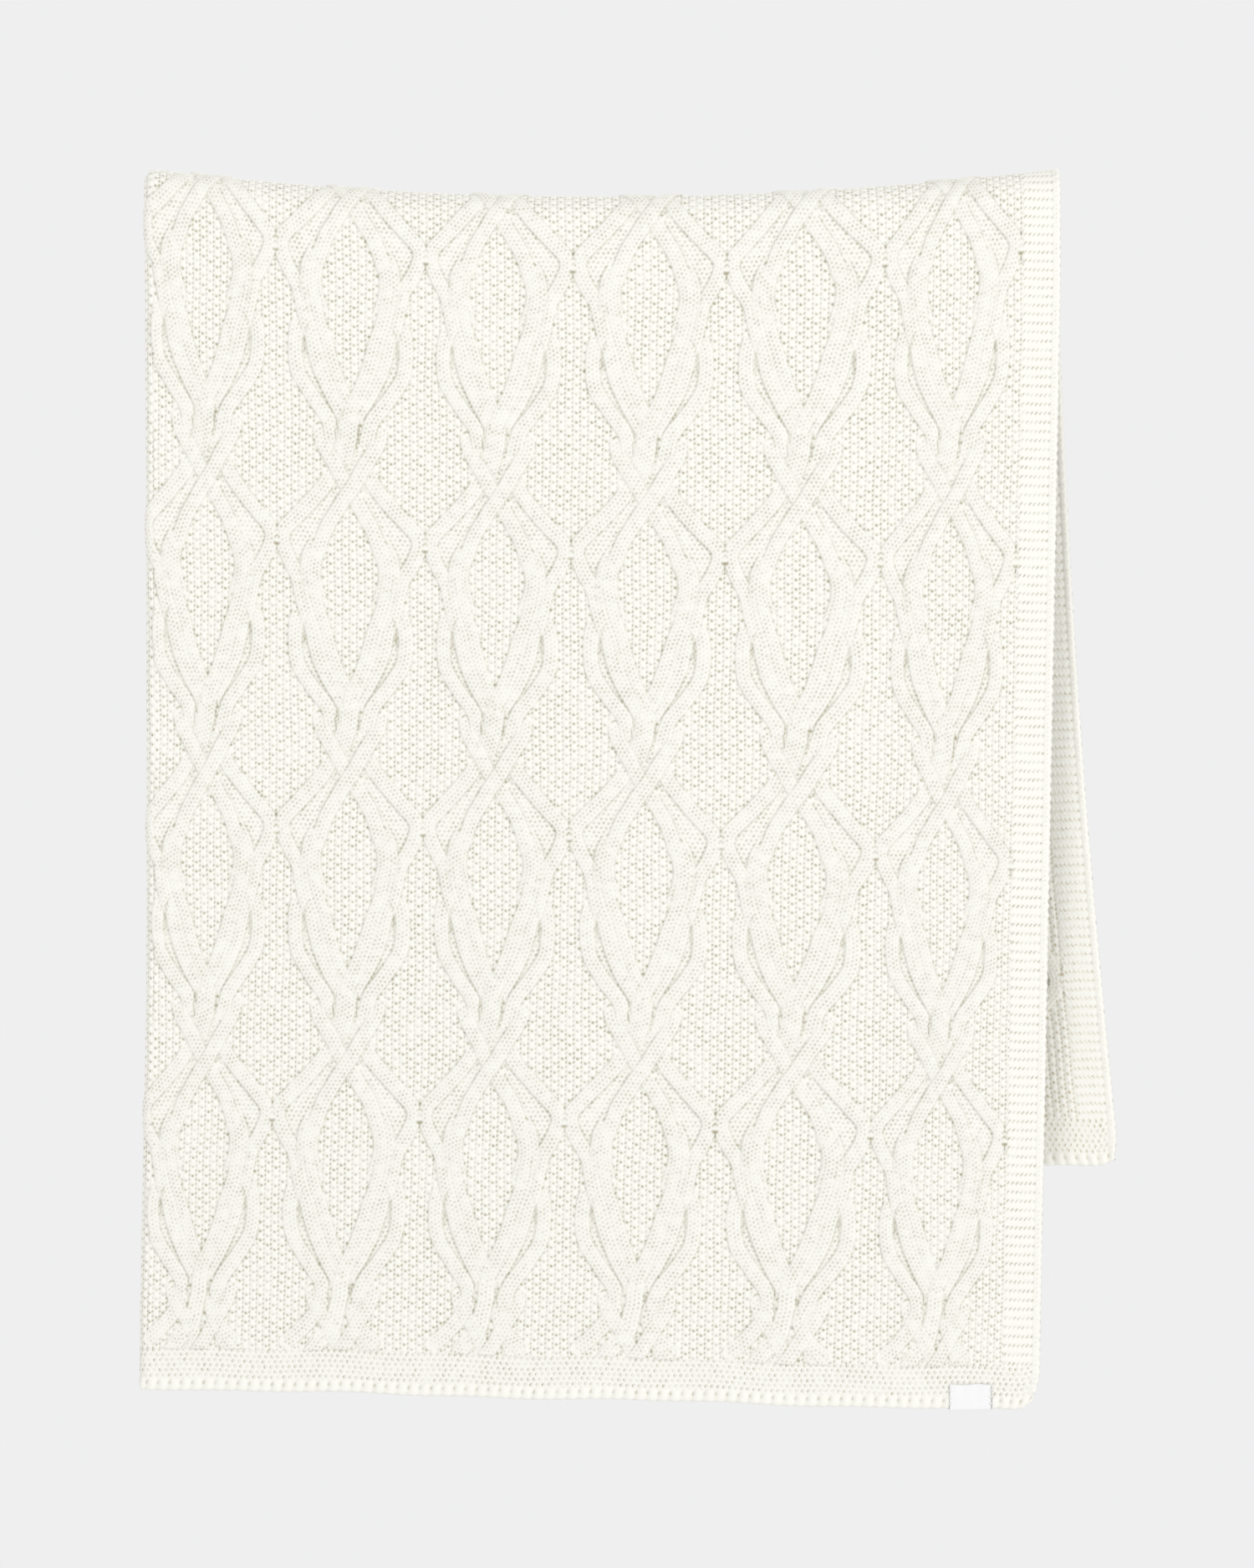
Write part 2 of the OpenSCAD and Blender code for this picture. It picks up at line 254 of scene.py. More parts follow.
def motif(feet=False):
    """The height map of one repeat and the painted shade in its holes and creases, v down and u
    across, both wrapping round.
    """
    nu, nv = round(PITCH / GRAIN), round(REPEAT / GRAIN)
    u = (np.arange(nu) + 0.5) * PITCH / nu - PITCH / 2
    v = (np.arange(nv) + 0.5) * REPEAT / nv
    U, V = np.meshgrid(u, v)
    ground, hole = seed_stitch(U, V)
    purl, purl_hole = low_knit(U, V)
    wrap_v = np.where(V > REPEAT - 40, V - REPEAT, V)
    a = np.abs(U)
    # Low knitting fills the wedge over a crossing and the lenses between strands
    bare = (a < 8) & (wrap_v > -17) & (wrap_v < -0.5) & (not feet)
    outer = centre_line(OUTER_STRAND, V)
    petal = centre_line([(u, v) for u, v, _ in PETAL_STRAND] + PETAL_FOOT, V)
    aside = centre_line(SIDE_STRAND + SIDE_FOOT, V)
    bare |= (a < outer) & (a > petal) & (V < 40)
    bare |= (a < aside) & (a > outer) & (V > 54) & (V < 96)
    height = np.where(bare, purl, ground)
    pit = np.where(bare, purl_hole, hole)
    reach = np.full(U.shape, 9.0)
    phase = np.zeros(U.shape)
    for points, half, wales in strands(feet):
        path = rounded_path(points)
        step = np.hypot(*np.diff(path[:, :2], axis=0).T)
        run = np.concatenate([[0], np.cumsum(step)])
        for du in (-PITCH, 0, PITCH):
            for dv in (-REPEAT, 0, REPEAT):
                if feet and dv < 0 and path[:, 1].max() > 105:
                    continue
                if path[:, 1].max() + dv < -6 or path[:, 1].min() + dv > REPEAT + 6:
                    continue
                if path[:, 0].max() + du < -41 or path[:, 0].min() + du > 41:
                    continue
                best = np.full(U.shape, 99.0)
                across = np.zeros(U.shape)
                along = np.zeros(U.shape)
                lift = np.zeros(U.shape)
                for k in range(len(step)):
                    p, q = path[k].copy(), path[k + 1].copy()
                    p[0] += du
                    q[0] += du
                    p[1] += dv
                    q[1] += dv
                    pad = half + 4
                    i0 = np.searchsorted(v, min(p[1], q[1]) - pad)
                    i1 = np.searchsorted(v, max(p[1], q[1]) + pad)
                    j0 = np.searchsorted(u, min(p[0], q[0]) - pad)
                    j1 = np.searchsorted(u, max(p[0], q[0]) + pad)
                    if i0 >= i1 or j0 >= j1 or step[k] < 1e-6:
                        continue
                    win = (slice(i0, i1), slice(j0, j1))
                    x, y = U[win] - p[0], V[win] - p[1]
                    tx, ty = (q[0] - p[0]) / step[k], (q[1] - p[1]) / step[k]
                    t = np.clip(x * tx + y * ty, 0, step[k])
                    d = np.hypot(x - t * tx, y - t * ty)
                    nearer = d < best[win]
                    best[win] = np.where(nearer, d, best[win])
                    sign = np.sign(x * ty - y * tx)
                    across[win] = np.where(nearer, sign * d, across[win])
                    along[win] = np.where(nearer, run[k] + t, along[win])
                    share = t / step[k]
                    lift[win] = np.where(nearer, p[2] + (q[2] - p[2]) * share, lift[win])
                inside = best < half
                crown = np.sqrt(np.clip(1 - (best / half) ** 2, 0, 1))
                stitch, holes = knit_legs(across, along, half, wales)
                top = lift * (0.38 + 0.62 * crown) + stitch
                # painted shade: dark dots along each strand's rim, one each course
                rim_dots = np.exp(-((half - best) / 0.45) ** 2) * cycle(along / COURSE)
                wins = inside & (top > height)
                height = np.where(wins, top, height)
                pit = np.where(wins, np.maximum(holes, 0.25 * rim_dots), pit)
                near = (lift > 0.5) & (best >= half)
                reach = np.where(near, np.minimum(reach, best - half), reach)
                phase = np.where(near & (reach == best - half), along, phase)
    # painted shade: a dotted dark crease along the outer side of each strand
    crease = np.exp(-(reach / 0.7) ** 2)
    height = height - 0.1 * crease
    pit = np.maximum(pit, crease * (0.02 + 0.42 * cycle(phase / COURSE)))
    # A slit on each side of the stem, a dotted one beside each side strand, and a column of
    # deeper spots at the kissing points, each sunk and darkened with painted shade
    for at in (-6.6, 4.4):
        slit = np.exp(-((U - at - 0.3 * np.sin(V * 0.6)) / 0.42) ** 2)
        slit = slit * smooth((V - 95.0) / 1.5) * smooth((106.5 - V) / 1.5)
        height = height - 0.5 * slit
        pit = np.maximum(pit, slit * (0.34 + 0.36 * cycle(V / COURSE)))
    beside = np.exp(-((a - aside + STRAND_HALF + 0.9) / 0.5) ** 2)
    beside = beside * smooth((V - 53.0) / 3) * smooth((72.0 - V) / 5)
    height = height - 0.25 * beside
    pit = np.maximum(pit, beside * (0.12 + 0.48 * cycle(V / COURSE)))
    edge = PITCH / 2 - a
    for drop, wide, tall, deep in ((25.8, 1.7, 0.75, 1.0), (17.6, 0.7, 0.6, 0.7),
                                   (19.9, 0.7, 0.6, 0.8), (22.2, 0.8, 0.6, 0.8)):
        spot = np.exp(-(edge / wide) ** 2 - ((V - drop) / tall) ** 2)
        height = height - 0.6 * deep * spot
        pit = np.maximum(pit, 0.9 * deep * spot)
    return np.stack([height, pit])


def sample(field, u, v):
    """The height map at any place, wrapping round in both directions."""
    nv, nu = field.shape[1:]
    x = (u / PITCH + 0.5) * nu - 0.5
    y = v / REPEAT * nv - 0.5
    x0, y0 = np.floor(x), np.floor(y)
    fx, fy = x - x0, y - y0
    i0, j0 = y0.astype(int) % nv, x0.astype(int) % nu
    i1, j1 = (i0 + 1) % nv, (j0 + 1) % nu
    top = field[:, i0, j0] * (1 - fx) + field[:, i0, j1] * fx
    low = field[:, i1, j0] * (1 - fx) + field[:, i1, j1] * fx
    return top * (1 - fy) + low * fy


MOTIF = motif()
MOTIF_FEET = motif(feet=True)


def crest_rise(x):
    """How far the outer leaf's crest stands above a plain quarter turn round the rail."""
    return LOFT + SAG * (x / EDGE_X) ** 2


def foot(flap, x):
    """Height of a flap's lower edge at x, slightly wavy and drawn up at its right corner."""
    wave = 0.5 * np.sin(x / 23.0) + 0.35 * np.sin(x / 9.1 + 1.0)
    corner = 0.6 * np.clip(1 - (EDGE_X - x) / 11.0, 0, 1) ** 2 * 11.0 / 2
    return -DROP[flap] - HEM_SLOPE[flap] * x + 0.8 * wave + corner


def split(a):
    """Where a place across the cloth lies: its x, how far round the fold, and how far in."""
    turn = np.clip((a - LEAF_W) / BEND_W, 0, 1)
    x = np.where(a < LEAF_W, EDGE_X - a, FOLD_X + np.clip(a - LEAF_W - BEND_W, 0, None))
    return x, turn


def crest_top(a):
    """Height s of the crest line at a, measured along the cloth."""
    x, turn = split(a)
    return crest_rise(np.where(turn > 0, FOLD_X, x)) + QUARTER


def lean(flap, x, z):
    """Sideways shift of the hanging cloth at height z."""
    share = np.clip((FLAP_TOP - z) / (FLAP_TOP + DROP[flap]), 0, 1.02)
    to_right = np.clip((x - FOLD_X) / (BAND_X - FOLD_X), 0, 1)
    if flap == FRONT:
        left = 0.8 * np.sin(np.pi * share) - 2.4 * smooth((share - 0.55) / 0.45) - 1.2
        return -FRONT_TAPER * to_right * share + left * (1 - to_right)
    return BACK_LEAN * share - BACK_HOLLOW * np.sin(np.pi * share) * (0.4 + 0.6 * to_right)


def billow(flap, x, z):
    """Gentle waves of the hanging cloth, the same for both of its leaves."""
    share = smooth((FLAP_TOP + 10 - z) / 160)
    wave = np.sin(x / 61.0 + 0.9 + z / 420.0) + 0.5 * np.sin(x / 33.0 - z / 150.0)
    return share * wave * (0.9 if flap == FRONT else 1.1)


def place(flap, a, s):
    """Middle surface of the cloth and its outward normal, at a across and height s up."""
    x, turn = split(a)
    at_fold = np.where(turn > 0, FOLD_X, x)
    rise = crest_rise(np.where((turn > 0) & (turn < 1), FOLD_X, x))
    above = np.clip((s - rise) / OUTER_R, 0, np.pi / 2)
    outer_y = OUTER_R * np.cos(above)
    outer_z = np.where(s < rise, s, rise + OUTER_R * np.sin(above))
    top = crest_rise(FOLD_X) + QUARTER
    inner_turn = np.clip(s / top, 0, 1) * np.pi / 2
    inner_y = INNER_R * np.cos(inner_turn)
    # the inner leaf follows most of the outer leaf's rise, so they lie close together
    inner_top = INNER_R + FOLLOW * (rise - LOFT)
    inner_z = np.where(s < 0, s, inner_top * np.sin(inner_turn))
    phi = turn * np.pi
    half_y, half_z = (outer_y - inner_y) / 2, (outer_z - inner_z) / 2
    gap = np.hypot(half_y, half_z)
    bulge = 2.5 + 0.3 * (gap - 2.5)
    y = (outer_y + inner_y) / 2 + np.cos(phi) * half_y
    z = (outer_z + inner_z) / 2 + np.cos(phi) * half_z
    x = x - np.sin(phi) * bulge * ((turn > 0) & (turn < 1))
    ny = np.where(turn == 0, np.cos(above), np.where(turn == 1, -np.cos(inner_turn),
                                                    np.cos(phi) * half_y / gap))
    nz = np.where(turn == 0, np.sin(above), np.where(turn == 1, -np.sin(inner_turn),
                                                    np.cos(phi) * half_z / gap))
    nx = np.where((turn > 0) & (turn < 1), -np.sin(phi), 0.0)
    x = x + lean(flap, np.where(turn > 0, np.maximum(x, FOLD_X), x), z)
    y = y + billow(flap, np.where(turn == 1, x, at_fold), z)
    side = SIDE[flap]
    return np.stack([x, side * y, z]), np.stack([nx, side * ny, nz])


def path_height(flap, a, s):
    """Height along the cloth as it was knitted, on from the front flap over the crest."""
    if flap == FRONT:
        return s
    top = crest_top(a)
    down = top - s
    slack = 2 * (top - QUARTER)
    return top + down - slack * smooth(down / 180)


def garter(u, v, wale, ridge, stagger):
    """Garter stitch: ridges across, each a row of small purl arcs, with holes between, darkened
    with painted shade.
    """
    row = np.floor(v / ridge)
    half_step = stagger * row / 2
    arc = (0.12 + 0.14 * stagger) * np.sin(2 * np.pi * (u / wale + half_step))
    lift = cycle(v / ridge + arc - 0.5)
    height = 0.42 * lift ** 0.6 * (0.75 + 0.25 * cycle(u / wale + half_step))
    gap = nearest(v / ridge + arc) * ridge
    hole = dot(nearest(u / wale + stagger * np.round(v / ridge) / 2) * wale, gap, 0.52)
    pit = np.clip((0.6 - 0.1 * stagger) * hole
                  + (0.17 + 0.1 * stagger) * np.exp(-(gap / 0.45) ** 2), 0, 1)
    return height, pit


def knit(flap, a, s, low):
    """Relief of the right side over the cloth's middle surface, and its holes, which set the
    painted shade.

    Also the distances from the nearer side edge and from the foot, and the whipped edge's bars.
    """
    x, turn = split(a)
    if a.min() <= LEAF_W:
        half = np.interp(x, HALF_COLUMNS, HALF_FIRST + np.arange(len(HALF_COLUMNS)))
    else:
        half = np.zeros(a.shape)
    past = a - LEAF_W - BEND_W / 2
    half = np.where(past > -BEND_W / 2, HALF_FIRST - past / HALF_INNER, half)
    s_path = path_height(flap, a, s)
    column = (np.where(turn > 0, HALF_COLUMNS[0], x) - COLUMN_MIDDLE) / COLUMN_W
    rows = (np.array(ROW_MIDDLE)[:, None] + np.outer(ROW_TILT, column[0])
            + np.outer(ROW_ARCH, column[0] ** 2))
    number = np.arange(len(ROW_MIDDLE), dtype=float)
    repeat = np.empty(s_path.shape)
    for j in range(s_path.shape[1]):
        repeat[:, j] = np.interp(-s_path[:, j], -rows[:, j], number)
    u = half * PITCH / 2
    v = repeat * REPEAT
    u = u + 0.25 * np.sin(u / 17.0 + v / 29.0) + 0.2 * np.sin(v / 7.3 + u / 11.0)
    v = v + 0.4 * np.sin(u / 13.0)
    height, pit = sample(MOTIF, u, v)
    if flap == FRONT:
        feet = sample(MOTIF_FEET, u, v)
        height, pit = np.where(repeat > FEET_ROW, feet, np.stack([height, pit]))
    # The garter band along each side, and the chain selvedge outside it
    edge = np.minimum(a, FAR_A - a)
    wave = s_path + 0.5 * np.sin(s_path / 31.0) + 0.35 * np.sin(edge / 5.0)
    band, band_pit = garter(edge, wave, BAND_STITCH, BAND_RIDGE, 0)
    in_band = edge < BAND
    height = np.where(in_band, band, height)
    pit = np.where(in_band, band_pit, pit)
    # painted shade dotted along the groove where the band meets the cables
    seam = np.exp(-((edge - BAND) / 0.6) ** 2)
    height = height - 0.1 * seam
    pit = np.maximum(pit, 0.15 * seam * cycle(wave / BAND_RIDGE))
    loop = wave / BAND_RIDGE + 0.3 * edge / SELVEDGE
    chain = 0.1 + 0.5 * np.sqrt(np.clip(1 - ((edge - 1.8) / 1.8) ** 2, 0, 1))
    chain = chain * (0.7 + 0.3 * cycle(loop))
    in_chain = edge < SELVEDGE
    height = np.where(in_chain, chain, height)
    # painted shade between the chain selvedge's loops
    chain_pit = dot(edge - 1.9, nearest(loop * 2) * 1.98, 0.5)
    pit = np.where(in_chain, 0.45 * chain_pit, pit)
    # painted shade dotted along the groove inside the selvedge
    seam = np.exp(-((edge - SELVEDGE) / 0.45) ** 2)
    height = height - 0.2 * seam
    pit = np.maximum(pit, 0.3 * seam * cycle(wave / BAND_RIDGE))
    # The garter hem, and the whipped edge below it
    up = s - low
    hem_a, hem_up = a + 0.3 * np.sin(up), up + 0.3 * np.sin(a / 9.0)
    hem, hem_pit = garter(hem_a, hem_up, HEM_STITCH, HEM_RIDGE, 1)
    in_hem = (up < HEM_TOP[flap]) & (edge > SELVEDGE)
    height = np.where(in_hem, hem, height)
    pit = np.where(in_hem, hem_pit, pit)
    bar = cycle(a / WHIP + 0.04 * up)
    whip = 0.1 + 0.8 * bar ** 0.6 * np.sqrt(np.clip(1 - ((up - 2.4) / 3.4) ** 2, 0, 1))
    height = np.where(up < CAST_EDGE, whip, height)
    # painted shade between the whipped edge's bars, and in the row of holes above them
    pit = np.where(up < CAST_EDGE, 0.15 * (1 - bar), pit)
    hole = np.exp(-((up - 3.4) / 1.1) ** 2) * (1 - bar) ** 5
    height = height - 0.5 * hole
    pit = np.maximum(pit, 0.42 * hole)
    if flap == FRONT:
        # the hem is pressed thin under the label
        hangs_at = x + lean(flap, x, s)
        pressed = smooth((LABEL_W / 2 + 0.9 - np.abs(hangs_at - LABEL_X)) / 0.9)
        pressed = pressed * smooth((LABEL_H + 0.7 - up) / 0.9) * (a < LEAF_W)
        height = height * (1 - 0.75 * pressed) - 0.1 * pressed
    return height, pit, edge, up, bar


def box_mean(field, r, q):
    """Mean over a window of 2r+1 rows and 2q+1 columns."""
    for axis, n in ((0, r), (1, q)):
        pad = [(0, 0), (0, 0)]
        pad[axis] = (n + 1, n)
        total = np.cumsum(np.pad(field, pad, mode="edge"), axis=axis)
        span = 2 * n + 1
        if axis == 0:
            field = (total[span:] - total[:-span]) / span
        else:
            field = (total[:, span:] - total[:, :-span]) / span
    return field


def speckle(shape, steps, seed):
    """Smooth uneven values from 0 to 1 over a grid, `steps` of its cells to each knot."""
    rows, cols = (int(n / k) + 3 for n, k in zip(shape, steps))
    knots = np.random.default_rng(seed).random((rows, cols))
    r, c = np.arange(shape[0]) / steps[0], np.arange(shape[1]) / steps[1]
    i, j = r.astype(int), c.astype(int)
    fr, fc = (r - i)[:, None], (c - j)[None, :]
    top = knots[i][:, j] * (1 - fc) + knots[i][:, j + 1] * fc
    low = knots[i + 1][:, j] * (1 - fc) + knots[i + 1][:, j + 1] * fc
    return top * (1 - fr) + low * fr


def tuck(flap, edge, up):
    """How far the rounded corners at the foot draw in towards the panel."""
    return TUCK[flap] * np.clip(1 - up / 15, 0, 1) ** 2 * np.clip(1 - edge / 16, 0, 1)


def rim(edge, up):
    """How full the cloth is near its outer edges, where it rounds over."""
    near = np.minimum(edge, up) / 1.6
    return np.sqrt(np.clip(1 - (1 - np.clip(near, 0, 1)) ** 2, 0.02, 1))


def right_side(flap, a, share):
    """Points and painted shade in the gaps of the right side, at a across and share of the way up.
    """
    low = foot(flap, split(a)[0])
    s = low + (crest_top(a) - low) * share
    height, pit, edge, up, bar = knit(flap, a, s, low)
    step_r = np.mean(s[1] - s[0])
    step_c = (a[0, -1] - a[0, 0]) / (a.shape[1] - 1)
    nr, nc = max(1, round(1.5 / step_r)), max(1, round(1.5 / step_c))
    mean = box_mean(box_mean(height, nr, nc), nr, nc)
    uneven = 0.45 + 1.1 * speckle(a.shape, (2.2 / step_r, 2.2 / step_c), 11 + flap)
    height = height + 0.12 * (uneven - 1)
    # painted shade: the holes' shade, unevenly strong, plus darkening wherever the knit sinks
    # below its local mean
    gap = np.clip(pit * uneven + 0.13 * np.clip((mean - height) / 0.6, 0, 1), 0, 1)
    point, normal = place(flap, a, s)
    full = rim(edge, up)
    out = point + normal * (0.85 + height) * full
    loops = cycle(path_height(flap, a, s) / BAND_RIDGE) - 0.5
    scallop = 0.8 * loops * np.exp(-edge / 1.5)
    out[0] += scallop - tuck(flap, edge, up)
    out[2] -= 0.55 * (bar - 0.5) * np.exp(-up / 1.5)
    return out, gap


def wrong_side(flap, a, share):
    """Points of the wrong side, which has shallow ridges only."""
    low = foot(flap, split(a)[0])
    s = low + (crest_top(a) - low) * share
    point, normal = place(flap, a, s)
    edge = np.minimum(a, FAR_A - a)
    ridges = 0.25 * cycle(s / 4.07) * cycle(a / 6.9)
    out = point - normal * (1.25 + ridges) * rim(edge, s - low)
    out[0] -= tuck(flap, edge, s - low)
    return out


def fan(fine, coarse):
    """Triangles between two runs of points along one line, the first one finer."""
    k = (len(fine) - 1) // (len(coarse) - 1)
    i = np.arange(len(coarse) - 1)
    mid = (k + 1) // 2
    out = [np.stack([fine[i * k + m], fine[i * k + m + 1], coarse[i + (m >= mid)]], 1)
           for m in range(k)]
    out.append(np.stack([fine[i * k + mid], coarse[i + 1], coarse[i]], 1))
    return np.concatenate(out)


def quads(grid):
    """The quads between the neighbours in a grid of point numbers."""
    a, b, c, d = grid[:-1, :-1], grid[:-1, 1:], grid[1:, 1:], grid[1:, :-1]
    return np.stack([a.ravel(), b.ravel(), c.ravel(), d.ravel()], 1)


def write_mesh(name, points, quad, tri, flip=False):
    """A smooth-shaded object from points in millimetres, quads and triangles."""
    if flip:
        quad, tri = quad[:, ::-1], tri[:, ::-1]
    me = bpy.data.meshes.new(name)
    me.vertices.add(len(points))
    me.vertices.foreach_set("co", (points * MM).astype(np.float32).ravel())
    corners = np.concatenate([quad.ravel(), tri.ravel()]).astype(np.int32)
    me.loops.add(len(corners))
    me.loops.foreach_set("vertex_index", corners)
    me.polygons.add(len(quad) + len(tri))
    starts = np.concatenate([np.arange(len(quad)) * 4, 4 * len(quad) + np.arange(len(tri)) * 3])
    me.polygons.foreach_set("loop_start", starts.astype(np.int32))
    me.update(calc_edges=True)
    me.validate()
    me.shade_smooth()
    ob = bpy.data.objects.new(name, me)
    bpy.context.scene.collection.objects.link(ob)
    return ob


def folded_sheet(name, flap, fine_a, coarse_a, rows, ratio, back_ratio):
    """One flap of the folded throw: a closed sheet, finer on its right side.

    fine_a are the places across on the finer block, coarse_a those on the block beyond it,
    which has one row for every `ratio` rows. The wrong side has one for every `back_ratio`.
    """
    share = np.linspace(0, 1, rows + 1)
    A, S = np.meshgrid(fine_a, share)
    fine, fine_gap = right_side(flap, A, S)
    B, T = np.meshgrid(coarse_a, share[::ratio])
    coarse, coarse_gap = right_side(flap, B, T)
    nf = fine[0].size
    fine_id = np.arange(nf).reshape(A.shape)
    # the coarser block starts on the finer block's last column
    coarse_id = np.empty(B.shape, int)
    coarse_id[:, 0] = fine_id[::ratio, -1]
    coarse_id[:, 1:] = nf + np.arange(B.shape[0] * (B.shape[1] - 1)).reshape(B.shape[0], -1)
    nc = B.shape[0] * (B.shape[1] - 1)
    step = back_ratio // ratio
    back_a = np.concatenate([fine_a[::back_ratio], coarse_a[step::step]])
    C, W = np.meshgrid(back_a, share[::back_ratio])
    back = wrong_side(flap, C, W)
    back_id = nf + nc + np.arange(C.size).reshape(C.shape)
    points = np.concatenate([fine.reshape(3, -1).T, coarse[:, :, 1:].reshape(3, -1).T,
                             back.reshape(3, -1).T])
    gap = np.concatenate([fine_gap.ravel(), coarse_gap[:, 1:].ravel(), np.zeros(C.size)])
    quad = np.concatenate([quads(fine_id), quads(coarse_id[:, 1:]), quads(back_id)[:, ::-1]])
    tri = [fan(fine_id[:, -1], coarse_id[:, 1])[:, ::-1],
           fan(fine_id[:, 0], back_id[:, 0])]
    tri.append(fan(coarse_id[:, -1], back_id[:, -1])[:, ::-1])
    cut = (len(fine_a) - 1) // back_ratio
    for row, turned in ((0, True), (-1, False)):
        for ids, mates in ((fine_id[row], back_id[row, :cut + 1]),
                           (coarse_id[row], back_id[row, cut:])):
            t = fan(ids, mates)
            tri.append(t[:, ::-1] if turned else t)
    tri = np.concatenate(tri)
    ob = write_mesh(name, points, quad, tri, flap == FRONT)
    me = ob.data
    # painted shade of the right side's holes and creases, none on the wrong side, kept as the gap
    # attribute
    me.attributes.new("gap", "FLOAT", "POINT").data.foreach_set("value", gap.astype(np.float32))
    # the crest line, where the two flaps' sheets meet, keeps each sheet's own shading
    crest = np.zeros(len(points), bool)
    crest[fine_id[-1]] = True
    crest[coarse_id[-1]] = True
    ends = np.empty(2 * len(me.edges), np.int32)
    me.edges.foreach_get("vertices", ends)
    ends = ends.reshape(-1, 2)
    sharp = crest[ends[:, 0]] & crest[ends[:, 1]]
    mark = me.attributes.get("sharp_edge") or me.attributes.new("sharp_edge", "BOOLEAN", "EDGE")
    mark.data.foreach_set("value", sharp)
    return ob


def spread(start, stop, count):
    """Places from start to stop, in that many even steps."""
    return np.linspace(start, stop, count + 1)


front_sheet = folded_sheet(
    "front_sheet", FRONT, spread(0, LEAF_W + BEND_W, 824), spread(LEAF_W + BEND_W, FAR_A, 400),
    rows=1072, ratio=2, back_ratio=4)
STRIP = 64.0  # the part of the back flap's inner leaf that shows beside the front flap
back_sheet = folded_sheet(
    "back_sheet", BACK, spread(0, LEAF_W + BEND_W, 520),
    np.concatenate([spread(LEAF_W + BEND_W, FAR_A - STRIP, 280)[:-1],
                    spread(FAR_A - STRIP, FAR_A, 128)]),
    rows=720, ratio=1, back_ratio=4)


# ---- Materials ----

def node(tree, kind, **values):
    """A new shader node with its own properties set."""
    n = tree.nodes.new(kind)
    for key, value in values.items():
        setattr(n, key, value)
    return n


def yarn_material(name, light, shade, gap_shade_colour):
    """Matt cotton yarn: a mottled colour with painted shade in the gaps, with a fine fibrous bump.
    """
    m = bpy.data.materials.new(name)
    m.use_nodes = True
    t = m.node_tree
    shader = t.nodes["Principled BSDF"]
    link = t.links.new
    where = node(t, "ShaderNodeTexCoord")
    tone = node(t, "ShaderNodeTexNoise")
    tone.inputs["Scale"].default_value = 60
    tone.inputs["Detail"].default_value = 4
    link(where.outputs["Object"], tone.inputs["Vector"])
    base = node(t, "ShaderNodeMix", data_type="RGBA")
    base.inputs["A"].default_value = (*light, 1)
    base.inputs["B"].default_value = (*shade, 1)
    link(tone.outputs["Fac"], base.inputs["Factor"])
    # painted shade: the gap attribute mixes the gap shade colour into the yarn's colour
    gap = node(t, "ShaderNodeAttribute", attribute_name="gap")
    depth = node(t, "ShaderNodeMapRange", interpolation_type="SMOOTHSTEP")
    depth.inputs["From Min"].default_value = 0.0
    depth.inputs["From Max"].default_value = 1.1
    link(gap.outputs["Fac"], depth.inputs["Value"])
    colour = node(t, "ShaderNodeMix", data_type="RGBA")
    colour.inputs["B"].default_value = (*gap_shade_colour, 1)
    link(depth.outputs["Result"], colour.inputs["Factor"])
    link(base.outputs["Result"], colour.inputs["A"])
    link(colour.outputs["Result"], shader.inputs["Base Color"])
    fibre = node(t, "ShaderNodeTexNoise")
    fibre.inputs["Scale"].default_value = 1400
    fibre.inputs["Detail"].default_value = 3
    fibre.inputs["Roughness"].default_value = 0.65
    link(where.outputs["Object"], fibre.inputs["Vector"])
    rough = node(t, "ShaderNodeMapRange")
    rough.inputs["To Min"].default_value = 0.78
    rough.inputs["To Max"].default_value = 0.97
    link(fibre.outputs["Fac"], rough.inputs["Value"])
    link(rough.outputs["Result"], shader.inputs["Roughness"])
    bump = node(t, "ShaderNodeBump")
    bump.inputs["Strength"].default_value = 0.35
    bump.inputs["Distance"].default_value = 0.0003
    link(fibre.outputs["Fac"], bump.inputs["Height"])
    link(bump.outputs["Normal"], shader.inputs["Normal"])
    shader.inputs["Sheen Weight"].default_value = 0.25
    shader.inputs["Sheen Roughness"].default_value = 0.5
    shader.inputs["Specular IOR Level"].default_value = 0.2
    return m


YARN_LIGHT = (0.955, 0.951, 0.903)
YARN_SHADE = (0.93, 0.922, 0.858)
# painted shade: the colour laid into the knit's holes and creases
YARN_GAP_SHADE = (0.41, 0.38, 0.255)
BACK_GAP_WARM_SHADE = (0.46, 0.385, 0.215)  # painted shade, warmer than the front's, for the back flap, where the cloth only sees more cloth
for sheet, gap_shade_colour in ((front_sheet, YARN_GAP_SHADE), (back_sheet, BACK_GAP_WARM_SHADE)):
    yarn = yarn_material("yarn_" + sheet.name, YARN_LIGHT, YARN_SHADE, gap_shade_colour)
    sheet.data.materials.append(yarn)


# ---- The woven label, folded round the cast-on edge, and its stitches ----
LABEL_T = 0.35  # thickness of the tape
STITCH_UP = (2.2, 5.1, 8.0)  # heights of the stitches at each end
THREAD_R = 0.28
LABEL_OUT = 1.35  # from the leaf's middle to the label's front leg
LABEL_BACK = 1.8  # and to its back leg


def label_frame(x, out, up):
    """Points at x along the edge, `out` from the leaf's middle and `up` from its foot."""
    z = foot(FRONT, x) + up
    y = -(OUTER_R + out) + billow(FRONT, x, z) * SIDE[FRONT]
    return np.stack([x + 0 * z, y, z], -1)


